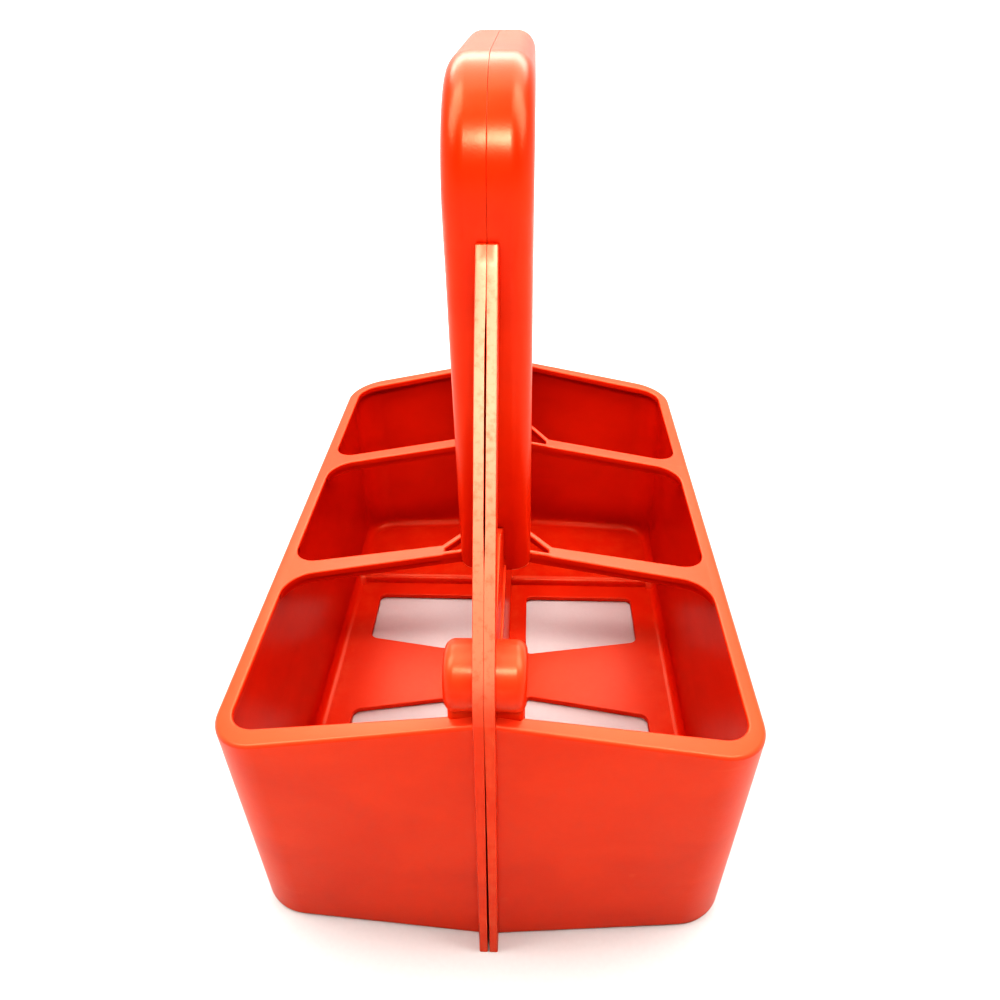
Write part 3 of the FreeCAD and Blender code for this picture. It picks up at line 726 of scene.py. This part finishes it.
def makeGrip(side):
    low, high, gap, halfWidth = grip["heel"], grip["top"], grip["gap"], grip["halfWidth"]
    under = high - grip["barDepth"]
    turn = tan((pi / 2 + atan2(grip["lean"], high - grip["foot"])) / 2)
    legDepth, legLow, legHigh, legUnder = grip["legDepth"], legFace(low), legFace(high), legFace(under)
    bend = (grip["bend"] * turn, grip["bendCuts"])
    innerBend = (grip["innerBend"] * turn, grip["innerBendCuts"])
    bm = bmesh.new()
    flatLoop(bm, [(-legLow, low), (-legHigh, high), (legHigh, high), (legLow, low), (legLow - legDepth, low),
                  (legUnder - legDepth, under), (legDepth - legUnder, under), (legDepth - legLow, low)],
             {1: bend, 2: bend, 5: innerBend, 6: innerBend}, onSide(0.0))
    thicken(bm, halfWidth - gap, axisX, gap)

    def isLongEdge(edge):
        onFace = all(v.co.x > halfWidth - same for v in edge.verts)
        return onFace and any(v.co.z > low + same for v in edge.verts)

    roundOff(bm, sharpEdges(bm, isLongEdge), *grip["longEdge"])
    inner = [max((f for f in bm.faces if f.normal.x < -facing), key=lambda f: f.calc_area())]
    sinkFaces(bm, inner, grip["wall"], (halfWidth - gap - grip["wall"], 0, 0))
    bmesh.ops.recalc_face_normals(bm, faces=bm.faces)

    def isFootEdge(edge):
        onFoot = all(abs(v.co.z - low) < same for v in edge.verts)
        return onFoot and any(v.co.x > gap + apart for v in edge.verts)

    def isSeamEdge(edge):
        return all(v.co.x < gap + same for v in edge.verts)

    roundOff(bm, sharpEdges(bm, isFootEdge), *grip["footEdge"])
    roundOff(bm, sharpEdges(bm, isSeamEdge), *grip["seamEdge"])
    legPin = legFace(grip["legPin"]) - legDepth / 2
    topPin = high - grip["barDepth"] / 2
    for y, z in ((legPin, grip["legPin"]), (grip["topPin"], topPin)):
        joinInto(bm, makePost(-y, z))
        joinInto(bm, makePost(y, z))
    bm.normal_update()
    scuffAndSheen = bm.faces.layers.float.new("scuffAndSheen")
    wearAndSheen = bm.verts.layers.float.new("wearAndSheen")
    footTop, cornerStart = low + grip["footEdge"][0], halfWidth - grip["longEdge"][0]
    for face in bm.faces:                     # the corners of the feet are knocked pale
        spot = face.calc_center_median()
        if spot.z < footTop and spot.x > cornerStart and face.normal.z > -facing:
            face[scuffAndSheen] = 1.0
    for v in bm.verts:
        v[wearAndSheen] = grip["footWear"]
        v.co.x -= side * sag(v.co.z)
    finishPiece(bm, "Grip", side, ["grip"])


for side in (-1, 1):
    makeGrip(side)
print("handle ready")


# upright web plate with its sloping braces

web = {
    "face": 0.22, "thick": 2.78, "end": 126.0,
    "shoulder": 112.0, "bend": 30.0, "bendCuts": 12,
    "tip": 213.0, "tipReach": 1.3, "joint": 200.7, "saddle": 165.0,
    "braceFoot": 108.7, "panelFront": 121.5, "panelCorner": (5.0, 6),
    "panelCrest": 129.5, "panelCrestOffset": 74.0, "crestCorner": (2.5, 6), "panelRear": 117.0,
    "bury": 1.4, "footBury": 1.0, "edge": (0.4, 2), "seamEdge": (0.1, 1), "seamReach": 0.15,
    "holeOffset": 114.0, "holeHeight": 111.0, "holeRadius": 3.28, "holeCuts": 32,
    "ledgeWidth": 0.7, "ledgeRoot": 1.0, "ledgeDepth": 3.0, "ledgeEnd": 120.0, "ledgeRound": (0.3, 2),
    "cuts": (30.0, 60.0, 88.0, 97.0, 120.0, 130.0, 140.0, 152.0, 164.0, 177.0, 190.0, 197.0, 203.0, 208.0),
    "slit": ((0, 0.32), (60, 0.16), (88, 0.07), (97, 0.012), (140, 0.012), (152, 0.23), (190, 0.26),
             (203, 0.04), (213, 0.02)),       # from the mid plane, all but shut at the boss and the tip
    # how pale the braces are painted, by height: partly scuffing, partly a painted highlight
    "wearAndSheen": ((101, 0.0), (110, 0.22), (118, 0.45), (140, 0.58), (158, 0.80), (172, 1.0), (184, 1.0),
             (198, 0.72), (213, 0.52)),
    "wearAndSheenDepth": 4.0, "wearAndSheenFacing": 0.8,
}


def ramp(stops, height):
    # straight runs between (height, value) stops
    for (low, start), (high, stop) in zip(stops, stops[1:]):
        if height <= high:
            return start + (stop - start) * max(0, height - low) / (high - low)
    return stops[-1][1]


def makeWebPlate(tipEnd):
    bury, legDepth, heel = web["bury"], grip["legDepth"], grip["heel"]
    turn = tan(atan2(web["end"] - tipEnd, web["tip"] - web["shoulder"]) / 2)
    rear = [(web["end"], 0.0), (web["end"], web["shoulder"]), (tipEnd, web["tip"]),
            (legFace(web["tip"]) - bury, web["tip"]), (legFace(web["joint"]) - bury, web["joint"] + bury),
            (web["braceFoot"], web["panelFront"]), (web["panelCrestOffset"], web["panelCrest"]),
            (legFace(web["panelRear"]) - bury, web["panelRear"]),
            (legFace(heel) - bury, heel + web["footBury"]),
            (legFace(heel) - legDepth + bury, heel + web["footBury"]),
            (legFace(web["saddle"]) - legDepth + bury, web["saddle"])]
    front = [(-y, z) for y, z in reversed(rear)]
    last = len(rear + front) - 1
    rounds = {1: (web["bend"] * turn, web["bendCuts"]), 5: web["panelCorner"], 6: web["crestCorner"]}
    rounds.update({last - index: value for index, value in list(rounds.items())})
    plate = bmesh.new()
    flatLoop(plate, rear + front, rounds, onSide(0.0))
    openFaces(plate)
    for end in (-1, 1):
        hole = Matrix.Translation((0, end * web["holeOffset"], web["holeHeight"]))
        bmesh.ops.create_circle(plate, cap_ends=False, segments=web["holeCuts"], radius=web["holeRadius"],
                                matrix=hole @ Matrix.Rotation(radians(90), 4, "Y"))
    fillFlat(plate, (1, 0, 0))
    thicken(plate, web["thick"], axisX, web["face"])
    middle = web["face"] + web["thick"] / 2

    def isOuterRim(edge):
        x, otherX = [v.co.x for v in edge.verts]
        return abs(x - otherX) < same and x > middle

    def isSeamRim(edge):
        x, otherX = [v.co.x for v in edge.verts]
        return abs(x - otherX) < same and x < middle

    roundOff(plate, sharpEdges(plate, isOuterRim), *web["edge"])
    roundOff(plate, sharpEdges(plate, isSeamRim), *web["seamEdge"])
    for height in web["cuts"]:
        whole = list(plate.verts) + list(plate.edges) + list(plate.faces)
        bmesh.ops.bisect_plane(plate, geom=whole, dist=snap, plane_co=(0, 0, height), plane_no=(0, 0, 1))
    plate.normal_update()
    return plate


def makeLedge(start, stop, reach, level):
    width, depth = web["ledgeWidth"] + web["ledgeRoot"], web["ledgeDepth"]
    ledge = newBox((width, stop - start, depth),
                   (reach - web["ledgeRoot"] + width / 2, (start + stop) / 2, level - depth / 2))
    roundOff(ledge, sharpEdges(ledge, lambda e: all(v.co.x > reach for v in e.verts)), *web["ledgeRound"])
    return ledge


def makeWeb(side):
    tipEnd = legFace(web["tip"]) + web["tipReach"]
    bm = makeWebPlate(tipEnd)
    scuffAndSheen = bm.faces.layers.float.new("scuffAndSheen")
    run, rise = web["end"] - tipEnd, web["tip"] - web["shoulder"]
    length = sqrt(run * run + rise * rise)
    for face in bm.faces:                     # only the outer edge of the braces is painted pale: scuffing and a painted highlight
        spot = face.calc_center_median()
        out = ((abs(spot.y) - web["end"]) * rise + (spot.z - web["shoulder"]) * run) / length
        outward = abs(face.normal.x) < web["wearAndSheenFacing"] and face.normal.y * spot.y > 0
        if outward and out > -web["wearAndSheenDepth"] and spot.z > web["wearAndSheen"][0][0]:
            face[scuffAndSheen] = 1.0
    wearAndSheen = bm.verts.layers.float.new("wearAndSheen")
    for v in bm.verts:
        v[wearAndSheen] = ramp(web["wearAndSheen"], v.co.z)
        if v.co.x < web["face"] + web["seamReach"] and abs(v.co.y) > legFace(v.co.z):
            v.co.x += ramp(web["slit"], v.co.z) - web["face"]
        v.co.x -= side * sag(v.co.z)

    reach = web["face"] + web["thick"]
    level = tray["crown"] - slope * reach
    outer = legFace(level) - web["bury"]
    inner = legFace(level) - grip["legDepth"] + web["bury"]
    for start, stop in ((-web["ledgeEnd"], -outer), (-inner, inner), (outer, web["ledgeEnd"])):
        joinInto(bm, makeLedge(start, stop, reach, level))
    finishPiece(bm, "Web", side, ["web"])


for side in (-1, 1):
    makeWeb(side)
print("webs ready")


# bosses that hold the halves together over the end walls

boss = {
    "offset": {"front": -114.0, "rear": 114.0}, "height": 111.0,
    "radius": 9.7, "cuts": 64, "inner": 2.2, "reach": 11.1, "edge": (3.0, 7),
    "hole": 3.28, "holeDepth": 6.6,
    "neckDepth": 12.0, "neckReach": 10.3, "neckFoot": 98.5, "neckOverlap": 3.5, "neckEdge": (1.4, 4),
}


def makeBoss(end):
    y, length = boss["offset"][end], boss["reach"] - boss["inner"]
    bm = newRod(boss["radius"], length, boss["cuts"])
    roundOff(bm, sharpEdges(bm, lambda e: all(v.co.z > 0 for v in e.verts)), *boss["edge"])
    boreRod(bm, boss["radius"], boss["hole"], boss["holeDepth"])
    layRod(bm, (boss["inner"] + length / 2, y, boss["height"]))

    middle = (boss["neckReach"] + boss["inner"]) / 2
    tall = boss["height"] - boss["radius"] + boss["neckOverlap"] - boss["neckFoot"]
    neck = newBox((boss["neckReach"] - boss["inner"], boss["neckDepth"], tall),
                  (middle, y, boss["neckFoot"] + tall / 2))

    def isOuterUpright(edge):
        one, other = edge.verts
        return one.co.x > middle and abs(one.co.z - other.co.z) > apart

    roundOff(neck, [e for e in neck.edges if isOuterUpright(e)], *boss["neckEdge"])
    joinInto(bm, neck)
    return bm


for side in (-1, 1):
    for end in ("front", "rear"):
        finishPiece(makeBoss(end), end.capitalize() + "Boss", side, [end + "_boss"])
print("bosses ready")

for name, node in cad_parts.items():
    if name.endswith(("stud", "pin")):
        for slot in node.material_slots:
            slot.material = plugPlastic
print("studs and pins dressed")


# floor, light and camera

stage = {
    "floorSize": 1.3, "floorCells": 8, "floorDrop": 0.0003,
    "floorColour": (0.57, 0.57, 0.58, 1.0), "floorShade": (0.54, 0.54, 0.55, 1.0),
    "floorFar": (0.92, 0.92, 0.93, 1.0), "floorFade": (0.32, 0.60),   # brighter paper away from the object
    "floorRough": 0.9, "fibreScale": 600.0, "fibres": {"Detail": 3.0},
    "skyColour": (1.0, 1.0, 1.0, 1.0),
    "skyFront": 0.05, "skyBack": 0.35,        # the open front of a photo tent is dimmer than its walls
    "skyFall": (-0.75, 0.10),
    "skyBelow": 1.0, "horizon": -0.01,        # the paper runs on past the edge of the floor
    "skyHaze": 0.55, "hazeTop": 0.35,         # and the walls are brighter towards it
    "lampAim": (0, 0, 0.1),
    "softboxes": {
        "key": {"at": (0.015, -0.473, 0.655), "size": (0.12, 0.07), "power": 1.85,
                "colour": (1.0, 0.97, 0.91)},
        "back": {"at": (-0.05, 0.92, 0.80), "size": (1.3, 0.30), "power": 4.0, "colour": (1.0, 0.97, 0.92)},
        "top": {"at": (0.0, 0.42, 0.95), "size": (1.3, 0.9), "power": 7.0, "colour": (1.0, 0.98, 0.94)},
        "left": {"at": (-0.50, -0.10, 0.90), "size": (0.5, 0.8), "power": 6.0, "colour": (1.0, 0.98, 0.93)},
        "right": {"at": (0.50, -0.10, 0.90), "size": (0.5, 0.8), "power": 6.0, "colour": (1.0, 0.98, 0.93)},
    },
}
view = {
    "lens": 30.87, "sensor": 36.0, "clip": 0.02,
    "pitch": 32.3, "yaw": 2.13, "roll": -0.31, "at": (0.01034, -0.2833, 0.2738),
}


def makePaper():
    paper = bpy.data.materials.new("palePaper")
    paper.use_nodes = True
    tree = paper.node_tree
    shader = tree.nodes["Principled BSDF"]
    shader.inputs["Roughness"].default_value = stage["floorRough"]
    place = addNode(tree, "ShaderNodeTexCoord").outputs["Object"]
    fibres = addNoise(tree, place, stage["fibreScale"], **stage["fibres"])
    nearColour = layColour(tree, fibres, stage["floorColour"], stage["floorShade"])
    distance = addNode(tree, "ShaderNodeVectorMath", operation="LENGTH")
    feed(tree, distance.inputs[0], place)
    outer = addRange(tree, distance.outputs["Value"], *stage["floorFade"])
    feed(tree, shader.inputs["Base Color"], layColour(tree, outer, nearColour, stage["floorFar"]))
    return paper


def layFloor():
    ground = bmesh.new()
    bmesh.ops.create_grid(ground, x_segments=stage["floorCells"], y_segments=stage["floorCells"],
                          size=stage["floorSize"] / 2)
    bmesh.ops.translate(ground, vec=(0, 0, -stage["floorDrop"]), verts=ground.verts)
    mesh = bpy.data.meshes.new("studioFloor")
    ground.to_mesh(mesh)
    ground.free()
    mesh.materials.append(makePaper())
    studioFloor = bpy.data.objects.new("studioFloor", mesh)
    scene.collection.objects.link(studioFloor)


def hangSky():
    world = bpy.data.worlds.new("studio")
    world.use_nodes = True
    tree = world.node_tree
    sky = tree.nodes["Background"]
    sky.inputs["Color"].default_value = stage["skyColour"]
    heading = addNode(tree, "ShaderNodeSeparateXYZ")
    feed(tree, heading.inputs[0], addNode(tree, "ShaderNodeTexCoord").outputs["Generated"])
    fall = addRange(tree, heading.outputs["Y"], *stage["skyFall"], stage["skyFront"], stage["skyBack"],
                    kind="SMOOTHSTEP")
    haze = addRange(tree, heading.outputs["Z"], 0.0, stage["hazeTop"], stage["skyHaze"], 0.0)
    walls = addMath(tree, "ADD", fall, haze)
    below = addMath(tree, "LESS_THAN", heading.outputs["Z"], stage["horizon"])
    whole = addNode(tree, "ShaderNodeMix", data_type="FLOAT")
    for index, source in ((0, below), (2, walls), (3, stage["skyBelow"])):   # 2 and 3 are its plain values
        feed(tree, whole.inputs[index], source)
    feed(tree, sky.inputs["Strength"], whole.outputs[0])
    scene.world = world


def addSoftbox(name, plan):
    lamp = bpy.data.lights.new(name, "AREA")
    lamp.shape = "RECTANGLE"
    lamp.size, lamp.size_y = plan["size"]
    lamp.energy = plan["power"]
    lamp.color = plan["colour"]
    holder = bpy.data.objects.new(name, lamp)
    holder.location = plan["at"]
    aim = Vector(stage["lampAim"]) - Vector(plan["at"])
    holder.rotation_euler = aim.to_track_quat("-Z", "Y").to_euler()
    scene.collection.objects.link(holder)


def placeCamera():
    pitch, yaw, roll = radians(view["pitch"]), radians(view["yaw"]), radians(view["roll"])
    ahead = Vector((-sin(yaw) * cos(pitch), cos(yaw) * cos(pitch), -sin(pitch)))
    right = Vector((cos(yaw), sin(yaw), 0))
    above = right.cross(ahead)
    turnedRight = right * cos(roll) + above * sin(roll)
    turnedUp = above * cos(roll) - right * sin(roll)
    pose = Matrix((turnedRight, turnedUp, -ahead)).transposed().to_4x4()
    pose.translation = view["at"]
    lens = bpy.data.cameras.new("photoView")
    lens.lens = view["lens"]
    lens.sensor_width = view["sensor"]
    lens.clip_start = view["clip"]
    camera = bpy.data.objects.new("photoView", lens)
    camera.matrix_world = pose
    scene.collection.objects.link(camera)
    scene.camera = camera


layFloor()
hangSky()
for name, plan in stage["softboxes"].items():
    addSoftbox(name + "Softbox", plan)
placeCamera()
scene.view_settings.view_transform = "Standard"
scene.view_settings.look = "Very High Contrast"
print("studio ready")
